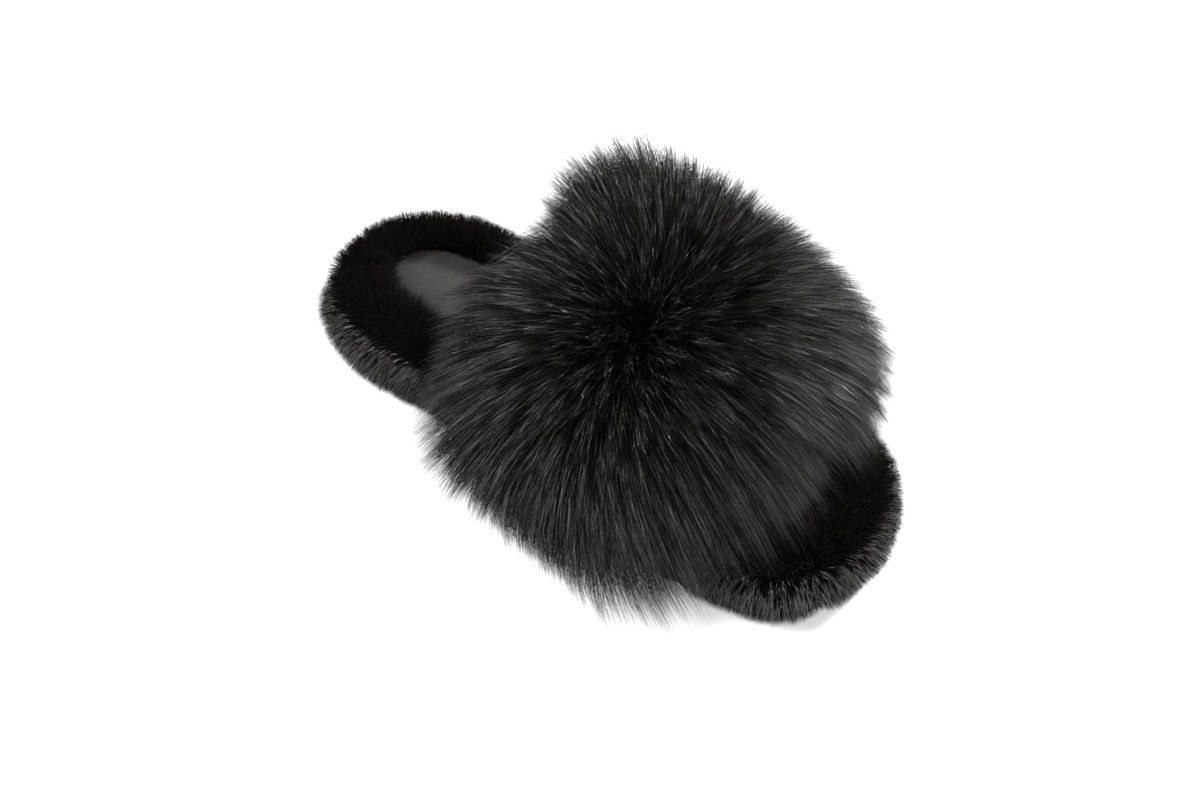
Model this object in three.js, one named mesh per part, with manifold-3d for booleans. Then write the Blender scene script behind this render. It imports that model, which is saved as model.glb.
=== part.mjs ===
// A fluffy house slipper for the left foot: an open-heel, open-toe mule on a flat sole.
// Millimetres. +Z is up from the floor, the toe points along -Y and the heel along +Y.
// The origin is on the floor under the middle of the slipper's outer box.

import * as THREE from "three";
import { mergeVertices } from "three/addons/utils/BufferGeometryUtils.js";
import Module from "manifold-3d";

const wasm = await Module();
wasm.setup();

// ---------------------------------------------------------------- driving dimensions

const overallLength = 276; // heel to toe, over the pile of the rim
const heelWidth = 94; // across the heel, over the pile
const ballWidth = 111; // across the ball of the foot, over the pile
const toeLean = 14; // how far the toe stands off the heel's line, towards -X
const heelLineX = 9; // X of the heel's middle line
const endRoundness = 8; // exponent of both ends: 2 is an ellipse, more is blunter

const gap = 0.3; // clearance between pieces that are glued or laid together
const floorGap = 1.5; // the pile ends this far above the floor

const outsoleThickness = 3.5;
const midsoleThickness = 4.9;
const soleReach = 6; // how far the sole stands outside the rim's core line
const treadDepth = 1.6;
const treadWidth = 2.4;
const treadPitch = 17;

const boardThickness = 1.8;
const foamThickness = 15.8;
const sockThickness = 1.2;

const beadRise = 1.8; // how far the rim's bead stands above the foam
const paddingInset = 2.7; // flat inner side of the bead, inside the core line
const hideThickness = 1; // skin of the rim fur
const pileLength = 7; // of the rim fur, out to its tips
const pileDrop = 2.1; // the pile's round is this much lower than the bead
const pressedPile = 3; // pile left between the bead and the vamp

const vampRear = 12; // Y of the vamp's rear edge
const vampFront = -85; // Y of the vamp's front edge
const vampHeightRear = 84; // inside height of the vamp above the floor, at its rear
const vampHeightFront = 64; // and at its front
const vampSquareness = 2.3; // exponent of the arch: 2 is an ellipse
const marginReach = 12; // how far the lining is turned in under the footbed
const liningThickness = 1;
const interliningThickness = 2.5;

const furSpan = 170; // long fur, tip to tip across the slipper
const furLength = 178; // and along it
const furRise = 88; // and from its middle up to the tips
const furMiddleY = -30;
const furMiddleZ = 55;

const bindingThickness = 0.8;
const bindingReach = 6; // how far the binding lies on the lining
const threadRadius = 0.25;
const stitchInset = 2; // stitching inside the sock's edge
const seamGap = 1.1; // between the ends of the two rim strips
const seamOffset = 17; // seams stand off the toe's and heel's middles, towards -X

const rimSteps = 44; // stations along one side of the rim
const vampSteps = 10; // stations along the vamp
const archSteps = 18; // stations over the vamp

// ---------------------------------------------------------------- heights that follow

const soleTop = outsoleThickness + gap + midsoleThickness;
const marginBottom = soleTop + gap;
const hideBottom = marginBottom + liningThickness + gap;
const boardBottom = hideBottom + hideThickness + gap;
const foamBottom = boardBottom + boardThickness + gap;
const sockBottom = foamBottom + foamThickness + gap;
const sockTop = sockBottom + sockThickness;
const threadBed = sockTop + gap;
const pileBed = threadBed + 2 * threadRadius + gap;
const paddingRadius = (sockBottom + beadRise - boardBottom) / 2; // of the bead
const coreZ = boardBottom + paddingRadius; // middle of the bead
const hideRadius = paddingRadius + gap; // inside of the rim fur's skin
const pileReach = hideRadius + hideThickness + pileLength; // core line to pile tips
const pileZ = coreZ - pileDrop; // middle of the pile's round
const skinEdge = Math.sqrt(hideRadius ** 2 - (sockBottom - coreZ) ** 2);
const sockInset = skinEdge + hideThickness + gap; // sock edge inside the core line
const pressedReach = hideRadius + hideThickness + pressedPile;
const bindingRoom = bindingThickness + 2 * threadRadius + 3 * gap;
const liningReach = pressedReach + gap + bindingRoom; // vamp's inside, from the core line
const liningFoot = marginBottom + liningThickness; // inside of the lining, underfoot
const furInset = liningThickness + interliningThickness + 2 * gap;

// ---------------------------------------------------------------- meshes and solids

const slipper = new THREE.Group();

function addPart(name, geometry, color, roughness) {
  const material = new THREE.MeshStandardMaterial({ color, roughness, metalness: 0 });
  const mesh = new THREE.Mesh(geometry, material);
  mesh.name = name;
  slipper.add(mesh);
}

function solidOf(geometry) {
  const bare = geometry.clone();
  bare.deleteAttribute("normal");
  bare.deleteAttribute("uv");
  const merged = mergeVertices(bare, 1e-3);
  return new wasm.Manifold(
    new wasm.Mesh({
      numProp: 3,
      vertProperties: new Float32Array(merged.attributes.position.array),
      triVerts: new Uint32Array(merged.index.array),
    }),
  );
}

function geometryOf(solid) {
  const mesh = solid.getMesh();
  const geometry = new THREE.BufferGeometry();
  geometry.setAttribute("position", new THREE.BufferAttribute(mesh.vertProperties, 3));
  geometry.setIndex(new THREE.BufferAttribute(mesh.triVerts, 1));
  geometry.computeVertexNormals();
  return geometry;
}

// A closed skin through rings of points. A loop joins its last ring to its first; otherwise
// each end is closed by a flat face, triangulated from the 2-D outline of its ring.
function loft(rings, outlines, isLoop) {
  const count = rings[0].length;
  const positions = rings.flat().flatMap((p) => [p.x, p.y, p.z]);
  const indices = [];
  const spans = isLoop ? rings.length : rings.length - 1;
  for (let i = 0; i < spans; i++) {
    const near = i * count;
    const far = ((i + 1) % rings.length) * count;
    for (let j = 0; j < count; j++) {
      const next = (j + 1) % count;
      indices.push(near + j, near + next, far + next, near + j, far + next, far + j);
    }
  }
  if (!isLoop) {
    indices.push(...endFace(outlines[0], 0, false));
    indices.push(...endFace(outlines[1], (rings.length - 1) * count, true));
  }
  const geometry = new THREE.BufferGeometry();
  geometry.setAttribute("position", new THREE.Float32BufferAttribute(positions, 3));
  geometry.setIndex(indices);
  return facedOutwards(geometry);
}

// Triangles of an end face, wound to meet the skin's sides. Triangulation always winds one
// way, so a clockwise outline takes the opposite turn.
function endFace(outline, offset, isLast) {
  const turned = THREE.ShapeUtils.isClockWise(outline) === isLast;
  const faces = THREE.ShapeUtils.triangulateShape(outline, []);
  return faces.flatMap(([a, b, c]) => (turned ? [a, c, b] : [a, b, c]).map((k) => k + offset));
}

// Turns every face round when the closed skin's signed volume comes out negative.
function facedOutwards(geometry) {
  const flat = geometry.toNonIndexed();
  const at = flat.attributes.position;
  let volume = 0;
  for (let i = 0; i < at.count; i += 3) {
    const [a, b, c] = [0, 1, 2].map((k) => new THREE.Vector3().fromBufferAttribute(at, i + k));
    volume += a.dot(b.cross(c));
  }
  if (volume < 0) geometry.index.array.reverse();
  geometry.computeVertexNormals();
  return geometry;
}

// ---------------------------------------------------------------- plan of the slipper

// The core line runs along the middle of the rim's bead. One side of it goes from the toe
// (u = -1) to the heel (u = 1): its half width blends from the ball to the heel and closes
// as (1 - |u|^n)^(1/2), and the toe leans off the heel's line with u squared.
const coreReach = overallLength / 2 - pileReach;

function coreSide(side) {
  const samples = [];
  const sampleCount = 240;
  for (let i = 0; i <= sampleCount; i++) {
    const u = -Math.cos((Math.PI * i) / sampleCount);
    const toHeel = THREE.MathUtils.smoothstep(u, -0.65, 0.65);
    const half = THREE.MathUtils.lerp(ballWidth, heelWidth, toHeel) / 2 - pileReach;
    const closing = Math.sqrt(Math.max(0, 1 - Math.abs(u) ** endRoundness));
    const lean = toeLean * Math.min(u, 0) ** 2;
    samples.push(new THREE.Vector3(heelLineX - lean + side * half * closing, coreReach * u, 0));
  }
  return new THREE.CatmullRomCurve3(samples).getSpacedPoints(rimSteps);
}

// The whole loop, counter-clockwise from the toe: along +X to the heel and back along -X.
const coreLoop = [...coreSide(1), ...coreSide(-1).reverse().slice(1, -1)];
const coreNormals = coreLoop.map((point, i) => {
  const before = coreLoop[(i + coreLoop.length - 1) % coreLoop.length];
  const after = coreLoop[(i + 1) % coreLoop.length];
  return new THREE.Vector3(after.y - before.y, before.x - after.x, 0).normalize();
});

// The point of the plan at station i, moved outwards by reach and up to z.
function planPoint(i, reach, z) {
  const k = (i + coreLoop.length) % coreLoop.length;
  return coreLoop[k].clone().addScaledVector(coreNormals[k], reach).setZ(z);
}

// The strips' ends, in stations from the toe's middle.
const stationLength = coreLoop[0].distanceTo(coreLoop[1]);
const seamShift = Math.round(seamOffset / stationLength);
const toeSeam = -seamShift;
const heelSeam = rimSteps + seamShift;

// The flat outline that runs outside the core line by reach.
function planOutline(reach) {
  return coreLoop.map((_, i) => {
    const p = planPoint(i, reach, 0);
    return new THREE.Vector2(p.x, p.y);
  });
}

// X of an outline's edge at a given Y, on the +X side (1) or the -X side (-1).
function edgeX(outline, y, side) {
  let found = side * -Infinity;
  outline.forEach((a, i) => {
    const b = outline[(i + 1) % outline.length];
    if (a.y > y === b.y > y) return;
    const x = THREE.MathUtils.mapLinear(y, a.y, b.y, a.x, b.x);
    found = side > 0 ? Math.max(found, x) : Math.min(found, x);
  });
  return found;
}

function slab(reach, bottom, thickness) {
  const shape = new THREE.Shape(planOutline(reach));
  const geometry = new THREE.ExtrudeGeometry(shape, { depth: thickness, bevelEnabled: false });
  return geometry.translate(0, 0, bottom);
}

// Points of an arc in the (reach, z) plane, both angles in degrees.
function arc(z, radius, from, to, steps) {
  return Array.from({ length: steps + 1 }, (_, k) => {
    const angle = THREE.MathUtils.degToRad(from + ((to - from) * k) / steps);
    return new THREE.Vector2(radius * Math.cos(angle), z + radius * Math.sin(angle));
  });
}

// A thread of round section along a path of points.
function threadAlong(points) {
  const section = new THREE.Shape();
  section.absarc(0, 0, threadRadius, 0, 2 * Math.PI);
  const path = new THREE.CatmullRomCurve3(points);
  return new THREE.ExtrudeGeometry(section, {
    extrudePath: path,
    steps: points.length,
    curveSegments: 3,
    bevelEnabled: false,
  });
}

// ---------------------------------------------------------------- sole

// Rubber outsole with straight grooves across its underside.
function outsole() {
  let solid = solidOf(slab(soleReach, 0, outsoleThickness));
  const half = coreReach + soleReach;
  const grooveCount = 2 * Math.floor(half / treadPitch);
  for (let i = 0; i < grooveCount; i++) {
    const groove = new THREE.BoxGeometry(2 * ballWidth, treadWidth, 2 * treadDepth);
    groove.translate(heelLineX, (i - grooveCount / 2 + 0.5) * treadPitch, 0);
    solid = solid.subtract(solidOf(groove));
  }
  return geometryOf(solid);
}

addPart("outsole", outsole(), 0x1c1b1a, 0.75);
addPart("midsole", slab(soleReach, outsoleThickness + gap, midsoleThickness), 0x242322, 0.85);

// ---------------------------------------------------------------- footbed

const footbedReach = -paddingInset - gap;
const boardGeometry = slab(footbedReach, boardBottom, boardThickness);
const foamGeometry = slab(footbedReach, foamBottom, foamThickness);
addPart("insole_board", boardGeometry, 0x8a6f50, 0.9);
addPart("footbed_foam", foamGeometry, 0xd9d2bf, 0.95);
addPart("sock_lining", slab(-sockInset, sockBottom, sockThickness), 0x55534f, 0.95);

// One lock-stitched thread that holds the sock down, just inside its edge.
function sockStitching() {
  const section = arc(threadBed + threadRadius, threadRadius, 0, 300, 5);
  const rings = coreLoop.map((_, i) => {
    return section.map((s) => planPoint(i, s.x - sockInset - stitchInset, s.y));
  });
  return loft(rings, null, true);
}

addPart("sock_stitching", sockStitching(), 0x2a2927, 0.8);

// ---------------------------------------------------------------- fur rim

// Degrees at which a circle about height z reaches another height, on its inner side.
function innerAngle(z, radius, height) {
  return 180 - THREE.MathUtils.radToDeg(Math.asin((height - z) / radius));
}

// Foam bead: a round with its inner side cut flat against the footbed.
function rimPadding() {
  const flat = THREE.MathUtils.radToDeg(Math.acos(paddingInset / paddingRadius));
  const section = arc(coreZ, paddingRadius, flat - 180, 180 - flat, 10);
  const rings = coreLoop.map((_, i) => section.map((s) => planPoint(i, s.x, s.y)));
  return loft(rings, null, true);
}

addPart("rim_padding", rimPadding(), 0xcfc8b4, 0.95);

// Section of a rim strip. The skin starts under the footbed, goes round the bead and ends
// at the sock's edge; the pile stands on it. Free pile is a full round that hangs down
// beside the sole; under the vamp the pile is pressed thin and the skin's underside is bare.
const hideTop = innerAngle(coreZ, hideRadius, sockBottom);
const skin = [
  new THREE.Vector2(-sockInset + gap, pileBed),
  new THREE.Vector2(-sockInset + gap, sockBottom),
  ...arc(coreZ, hideRadius, hideTop, -90, 9),
  new THREE.Vector2(0, hideBottom),
];
const freePile = [
  new THREE.Vector2(soleReach + gap, hideBottom),
  new THREE.Vector2(soleReach + gap, floorGap),
  new THREE.Vector2(soleReach + 5 * gap, floorGap),
  ...arc(pileZ, pileReach, -55, innerAngle(pileZ, pileReach, pileBed), 10),
];
const skinRadius = hideRadius + hideThickness;
const pressedPileOutline = [
  pointUnder(skinRadius, soleReach + gap),
  pointUnder(skinRadius, soleReach + 3 * gap),
  pointUnder(skinRadius, soleReach + 5 * gap),
  ...arc(coreZ, pressedReach, -20, innerAngle(coreZ, pressedReach, pileBed), 10),
];

// The point on the underside of a round about the bead, at a given reach.
function pointUnder(radius, reach) {
  return new THREE.Vector2(reach, coreZ - Math.sqrt(radius ** 2 - reach ** 2));
}

// 0 where the pile is free and 1 under the vamp, blending over a short way past its ends.
function pressedAt(y) {
  const blend = 14;
  const clear = 3;
  const rear = THREE.MathUtils.smoothstep(y, vampRear + clear, vampRear + clear + blend);
  const front = THREE.MathUtils.smoothstep(y, vampFront - clear - blend, vampFront - clear);
  return front * (1 - rear);
}

function rimSectionAt(y) {
  const pressed = pressedAt(y);
  return [...skin, ...freePile.map((p, k) => p.clone().lerp(pressedPileOutline[k], pressed))];
}

// One strip of the rim, from station first to station last of the core loop. Its two ends
// stand back by half the seam's gap.
function rimStrip(first, last) {
  const rings = [];
  for (let i = first; i <= last; i++) {
    const end = i === first ? 1 : i === last ? -1 : 0;
    const normal = planPoint(i, 1, 0).sub(planPoint(i, 0, 0));
    const along = new THREE.Vector3(-normal.y, normal.x, 0).multiplyScalar((end * seamGap) / 2);
    const section = rimSectionAt(planPoint(i, 0, 0).y);
    rings.push(section.map((s) => planPoint(i, s.x, s.y).add(along)));
  }
  const ends = [first, last].map((i) => rimSectionAt(planPoint(i, 0, 0).y));
  return loft(rings, ends, false);
}

addPart("rim_fur_right", rimStrip(toeSeam, heelSeam), 0x0e0d0d, 0.55);
addPart("rim_fur_left", rimStrip(heelSeam, 2 * rimSteps + toeSeam), 0x0e0d0d, 0.55);

// Overcast thread that joins the strips' skins end to end, lying in the seam.
function seamThread(station) {
  const middle = hideRadius + hideThickness / 2;
  const line = arc(coreZ, middle, hideTop - 6, -84, 18);
  return threadAlong(line.map((s) => planPoint(station, s.x, s.y)));
}

addPart("toe_seam_thread", seamThread(toeSeam), 0x1a1918, 0.8);
addPart("heel_seam_thread", seamThread(heelSeam), 0x1a1918, 0.8);

// ---------------------------------------------------------------- vamp

const liningEdge = planOutline(liningReach);
const coreEdge = planOutline(0);
const marginEdge = planOutline(-marginReach);
const vampSpan = vampRear - vampFront;

// Inside height of the arch, falling from the rear edge to the front edge.
function archHeight(y) {
  const toFront = (vampRear - y) / vampSpan;
  return THREE.MathUtils.lerp(vampHeightRear, vampHeightFront, toFront);
}

// Half of the arch over the foot on one side, from its spring line to its crown, standing
// outside the lining's inner face by out.
function archSide(y, side, out) {
  const left = edgeX(liningEdge, y, -1);
  const right = edgeX(liningEdge, y, 1);
  const middle = (left + right) / 2;
  const half = (right - left) / 2 + out;
  const rise = archHeight(y) - pileZ + out;
  const steps = archSteps / 2;
  return Array.from({ length: steps + 1 }, (_, k) => {
    const angle = (Math.PI / 2) * (k / steps);
    const across = half * Math.cos(angle) ** (2 / vampSquareness);
    const up = rise * Math.sin(angle) ** (2 / vampSquareness);
    return new THREE.Vector2(middle + side * across, pileZ + up);
  });
}

// The way in under the footbed on one side, from the margin's end to the spring line.
function turnedMargin(y, side, out) {
  const core = edgeX(coreEdge, y, side);
  const spring = Math.abs(edgeX(liningEdge, y, side) - core) + out;
  const drop = pileZ - liningFoot + out;
  const steps = 5;
  const turn = Array.from({ length: steps }, (_, k) => {
    const angle = (-Math.PI / 2) * (1 - k / steps);
    return new THREE.Vector2(core + side * spring * Math.cos(angle), pileZ + drop * Math.sin(angle));
  });
  return [new THREE.Vector2(edgeX(marginEdge, y, side), pileZ - drop), ...turn];
}

// One open line over the foot at Y, from the -X side to the +X side. Past the vamp's edges
// it runs straight on with the section of the edge.
function overLine(yAsked, out, hasMargin) {
  const y = THREE.MathUtils.clamp(yAsked, vampFront, vampRear);
  const left = hasMargin ? turnedMargin(y, -1, out) : [];
  const right = hasMargin ? turnedMargin(y, 1, out) : [];
  const over = [...archSide(y, -1, out), ...archSide(y, 1, out).reverse().slice(1)];
  return [...left, ...over, ...right.reverse()];
}

// A point of such a line, set in space at its Y.
function lift(point, y) {
  return new THREE.Vector3(point.x, y, point.y);
}

// A layer of the vamp between two distances outside the lining's inner face.
function vampLayer(from, to, rear, front, hasMargin) {
  const sections = Array.from({ length: vampSteps + 1 }, (_, k) => {
    const y = THREE.MathUtils.lerp(front, rear, k / vampSteps);
    return { y, line: [...overLine(y, from, hasMargin), ...overLine(y, to, hasMargin).reverse()] };
  });
  const rings = sections.map(({ y, line }) => line.map((p) => lift(p, y)));
  return loft(rings, [sections[0].line, sections[vampSteps].line], false);
}

const interliningFrom = liningThickness + gap;
const interliningTo = interliningFrom + interliningThickness;
const liningGeometry = vampLayer(0, liningThickness, vampRear, vampFront, true);
const interliningGeometry = vampLayer(interliningFrom, interliningTo, vampRear, vampFront, false);
addPart("vamp_lining", liningGeometry, 0x3a3836, 0.95);
addPart("vamp_interlining", interliningGeometry, 0xbdb6a4, 0.95);

// Long fur on its pelt: a rounded ball of hair with the foot's way cut through it. The way
// is as wide as the vamp and the rim together, and open down to the floor.
function vampFur() {
  const ball = new THREE.SphereGeometry(1, 32, 22);
  ball.rotateX(Math.PI / 2);
  ball.scale(furSpan / 2, furLength / 2, furRise);
  ball.translate(0, furMiddleY, furMiddleZ);
  const floor = new THREE.BoxGeometry(2 * furSpan, 2 * furLength, 2 * furRise);
  floor.translate(0, furMiddleY, floorGap - furRise);
  return geometryOf(solidOf(ball).subtract(solidOf(floor)).subtract(solidOf(footWay())));
}

function footWay() {
  const past = 4;
  const rear = furMiddleY + furLength / 2 + past;
  const front = furMiddleY - furLength / 2 - past;
  const inner = Array.from({ length: vampSteps + 1 }, (_, k) => {
    return THREE.MathUtils.lerp(vampFront, vampRear, k / vampSteps);
  });
  const sections = [front, ...inner, rear].map((y) => {
    const arch = overLine(y, furInset, false);
    const first = arch[0];
    const last = arch[arch.length - 1];
    const line = [new THREE.Vector2(first.x, -past), ...arch, new THREE.Vector2(last.x, -past)];
    return { y, line };
  });
  const rings = sections.map(({ y, line }) => line.map((p) => lift(p, y)));
  return loft(rings, [sections[0].line, sections[sections.length - 1].line], false);
}

addPart("vamp_fur", vampFur(), 0x0c0b0b, 0.5);

// Binding tape over a raw edge of the vamp: it covers the edge of the lining and the
// interlining and is turned onto the inside of the lining. The way it faces is 1 at the
// rear edge and -1 at the front edge.
function binding(edge, facing) {
  const inside = -gap - bindingThickness;
  const outer = edge + facing * (gap + bindingThickness);
  const onto = edge - facing * bindingReach;
  const profile = [
    [-gap, onto],
    [-gap, edge + facing * gap],
    [interliningTo, edge + facing * gap],
    [interliningTo, outer],
    [inside, outer],
    [inside, onto],
  ];
  const lines = profile.map(([out, y]) => overLine(y, out, false).map((p) => lift(p, y)));
  const rings = lines[0].map((_, k) => lines.map((line) => line[k]));
  const outline = profile.map(([out, y]) => new THREE.Vector2(out, y));
  return loft(rings, [outline, outline], false);
}

addPart("vamp_rear_binding", binding(vampRear, 1), 0x1d1c1b, 0.7);
addPart("vamp_front_binding", binding(vampFront, -1), 0x1d1c1b, 0.7);

// One thread along the binding, lying on its inner face from side to side.
function bindingStitching(edge, facing) {
  const y = edge - facing * (bindingReach - 1.5);
  const out = -2 * gap - bindingThickness - threadRadius;
  const points = overLine(y, out, false).slice(1, -1);
  return threadAlong(points.map((p) => lift(p, y)));
}

addPart("vamp_rear_stitching", bindingStitching(vampRear, 1), 0x2a2927, 0.8);
addPart("vamp_front_stitching", bindingStitching(vampFront, -1), 0x2a2927, 0.8);

export default slipper;
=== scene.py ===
import math

import bpy
import numpy as np
from mathutils import Matrix, Vector


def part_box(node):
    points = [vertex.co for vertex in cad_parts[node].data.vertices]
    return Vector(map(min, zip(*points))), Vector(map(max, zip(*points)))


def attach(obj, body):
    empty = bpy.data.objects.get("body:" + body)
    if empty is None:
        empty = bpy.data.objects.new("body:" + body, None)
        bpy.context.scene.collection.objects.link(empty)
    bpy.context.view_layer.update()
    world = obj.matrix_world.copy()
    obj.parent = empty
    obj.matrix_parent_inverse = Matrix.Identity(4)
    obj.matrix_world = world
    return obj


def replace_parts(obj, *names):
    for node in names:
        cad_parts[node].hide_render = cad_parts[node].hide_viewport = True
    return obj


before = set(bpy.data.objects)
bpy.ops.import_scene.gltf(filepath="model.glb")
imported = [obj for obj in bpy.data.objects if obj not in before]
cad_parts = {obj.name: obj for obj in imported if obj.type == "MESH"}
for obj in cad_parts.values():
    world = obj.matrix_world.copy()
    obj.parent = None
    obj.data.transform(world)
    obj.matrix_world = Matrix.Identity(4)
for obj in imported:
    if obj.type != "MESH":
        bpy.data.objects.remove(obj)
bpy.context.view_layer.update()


# ------------------------------------------------------------------ camera, floor and light
# A product table: a white floor under a pale sky. The key lamp stands off the toe's outer side,
# the fill off the inner side of the heel, and a weaker lamp in front shows the lie of the fur.

LOOK_AZIMUTH = math.radians(-52.06)
LOOK_ELEVATION = math.radians(46.0)
LOOK_ROLL = math.radians(-1.08)
LOOK_DISTANCE = 1.4994
LOOK_AT = Vector((-0.0084, -0.0078, 0.0365))
LENS_MM, SENSOR_MM = 112.5, 36.0


def direction(azimuth, elevation):
    """Unit vector from the slipper towards a bearing in radians: azimuth 0 is the toe's side and
    grows towards +X."""
    level = math.cos(elevation)
    return Vector((math.sin(azimuth) * level, -math.cos(azimuth) * level, math.sin(elevation)))


camera = bpy.data.objects.new("camera", bpy.data.cameras.new("camera"))
bpy.context.scene.collection.objects.link(camera)
camera.data.lens, camera.data.sensor_width = LENS_MM, SENSOR_MM
camera.data.clip_start, camera.data.clip_end = 0.05, 20.0
towards_camera = direction(LOOK_AZIMUTH, LOOK_ELEVATION)
camera.matrix_world = (
    Matrix.Translation(LOOK_AT + LOOK_DISTANCE * towards_camera)
    @ (-towards_camera).to_track_quat("-Z", "Y").to_matrix().to_4x4()
    @ Matrix.Rotation(LOOK_ROLL, 4, "Z")
)
bpy.context.scene.camera = camera
bpy.context.scene.view_settings.view_transform = "Standard"
LAMP_DISTANCE = 1.6


def area_lamp(name, azimuth, elevation, size, watts):
    """Square lamp at a bearing in degrees from the slipper, facing it."""
    lamp = bpy.data.objects.new(name, bpy.data.lights.new(name, "AREA"))
    lamp.data.size, lamp.data.energy = size, watts
    bearing = direction(math.radians(azimuth), math.radians(elevation))
    facing = (-bearing).to_track_quat("-Z", "Y").to_matrix().to_4x4()
    lamp.matrix_world = Matrix.Translation(bearing * LAMP_DISTANCE) @ facing
    bpy.context.scene.collection.objects.link(lamp)


area_lamp("key_lamp", azimuth=62, elevation=38, size=0.4, watts=54)
area_lamp("fill_lamp", azimuth=-120, elevation=40, size=0.45, watts=32)
area_lamp("front_lamp", azimuth=-46, elevation=34, size=0.4, watts=24)
SKY = 0.32
sky = bpy.data.worlds.new("sky")
sky.use_nodes = True
sky.node_tree.nodes["Background"].inputs["Color"].default_value = (SKY, SKY, SKY, 1)
bpy.context.scene.world = sky


class Value:
    """A shader number that ordinary arithmetic works on: each operator adds one Math node."""

    def __init__(self, finish, socket):
        self.finish, self.socket = finish, socket

    def math(self, operation, *others):
        return self.finish.node("Math", dict(operation=operation), dict(enumerate((self, *others))))

    def __add__(self, other):
        return self.math("ADD", other)

    def __mul__(self, other):
        return self.math("MULTIPLY", other)

    def __rsub__(self, other):
        return self.finish.node("Math", dict(operation="SUBTRACT"), {0: other, 1: self})

    def __pow__(self, other):
        return self.math("POWER", other)

    __radd__, __rmul__ = __add__, __mul__


class Finish:
    """A material being built: a Principled shader, and nodes that are added by their type."""

    def __init__(self, name, **constants):
        self.material = bpy.data.materials.new(name)
        self.material.use_nodes = True
        self.tree = self.material.node_tree
        self.shader = self.tree.nodes["Principled BSDF"]
        for socket, value in constants.items():
            self.feed(self.shader.inputs[socket.replace("_", " ")], value)

    def feed(self, socket, value):
        """Links a Value, or sets a constant: three numbers on a colour socket get an alpha of 1."""
        if isinstance(value, Value):
            self.tree.links.new(value.socket, socket)
        elif socket.type == "RGBA":
            socket.default_value = (*value, 1)
        else:
            socket.default_value = value

    def node(self, kind, settings, sockets, output=0):
        """Adds a ShaderNode of that kind, sets its settings, then feeds its sockets by name or place."""
        made = self.tree.nodes.new("ShaderNode" + kind)
        for name, value in settings.items():
            setattr(made, name, value)
        for key, value in sockets.items():
            self.feed(made.inputs[key], value)
        return Value(self, made.outputs[output])

    def place(self):
        """Object coordinates, in metres."""
        return self.node("TexCoord", {}, {}, "Object")

    def noise(self, vector, scale, detail=3.0):
        """Cloudy noise from 0 to 1, with scale cells to the metre."""
        return self.node("TexNoise", {}, {"Vector": vector, "Scale": scale, "Detail": detail}, "Fac")

    def mixed(self, factor, first, second):
        """Colour from first to second as factor goes from 0 to 1."""
        return self.node("Mix", dict(data_type="RGBA"), {0: factor, 6: first, 7: second}, 2)

    def paint(self, colour, roughness=None, height=None, depth=0.0):
        """Feeds the base colour, and if given the roughness and a bump as deep as depth, in metres."""
        self.feed(self.shader.inputs["Base Color"], colour)
        if roughness is not None:
            self.feed(self.shader.inputs["Roughness"], roughness)
        if height is not None:
            bump = self.node("Bump", {}, {"Height": height, "Distance": depth, "Strength": 1.0})
            self.feed(self.shader.inputs["Normal"], bump)
        return self.material


def mesh_piece(name, points, faces, material, uv=None):
    """Object of a smooth mesh: points (n, 3), faces (m, 3 or 4) and a map (n, 2) named for the bake."""
    points, faces = np.asarray(points, np.float32), np.asarray(faces, np.int32)
    corners = faces.shape[1]
    mesh = bpy.data.meshes.new(name)
    mesh.vertices.add(len(points))
    mesh.vertices.foreach_set("co", points.ravel())
    mesh.loops.add(faces.size)
    mesh.loops.foreach_set("vertex_index", faces.ravel())
    mesh.polygons.add(len(faces))
    mesh.polygons.foreach_set("loop_start", np.arange(0, faces.size, corners, dtype=np.int32))
    mesh.polygons.foreach_set("use_smooth", np.ones(len(faces), bool))
    mesh.update(calc_edges=True)
    if uv is not None:
        bake_map = mesh.uv_layers.new(name="OFBake")
        bake_map.data.foreach_set("uv", np.asarray(uv, np.float32)[faces.ravel()].ravel())
    mesh.materials.append(material)
    piece = bpy.data.objects.new(name, mesh)
    bpy.context.scene.collection.objects.link(piece)
    return piece


table_finish = Finish("white_table", Roughness=0.6)
table_grain = table_finish.noise(table_finish.place(), scale=40.0)
TABLE_HALF, TABLE_Z = 3.0, -0.0006
table_corners = [(-1, -1, 0), (1, -1, 0), (1, 1, 0), (-1, 1, 0)]
table = mesh_piece(
    "table",
    np.array(table_corners) * TABLE_HALF + (0, 0, TABLE_Z),
    [(0, 1, 2, 3)],
    table_finish.paint(table_finish.mixed(table_grain, (0.93, 0.93, 0.93), (0.96, 0.96, 0.96))),
)


# ------------------------------------------------------------------ outsole and midsole
# A moulded rubber outsole with straight grooves under a slab of closed-cell foam, cemented
# together. Both are flat stock, cut to the plan.


def refinish(node, material):
    """Gives a CAD node that keeps its shape a new finish."""
    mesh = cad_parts[node].data
    mesh.materials.clear()
    mesh.materials.append(material)


rubber = Finish("sole_rubber", Specular_IOR_Level=0.4)
rubber_place = rubber.place()
rubber_grain = rubber.noise(rubber_place, scale=1400.0, detail=2.0)
rubber_wear = rubber.noise(rubber_place, scale=60.0, detail=4.0)
rubber_colour = rubber.mixed(rubber_wear, (0.010, 0.010, 0.010), (0.022, 0.021, 0.020))
refinish("outsole", rubber.paint(rubber_colour, 0.55 + 0.3 * rubber_wear, rubber_grain, 0.0002))

cell_foam = Finish("midsole_foam", Specular_IOR_Level=0.35)
cell_place = cell_foam.place()
cells = cell_foam.node("TexVoronoi", {}, {"Vector": cell_place, "Scale": 1100.0}, "Distance")
cell_cloud = cell_foam.noise(cell_place, scale=90.0, detail=4.0)
cell_colour = cell_foam.mixed(cell_cloud, (0.014, 0.013, 0.013), (0.03, 0.029, 0.027))
refinish("midsole", cell_foam.paint(cell_colour, 0.7 + 0.2 * cells, cells, 0.0002))


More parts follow.
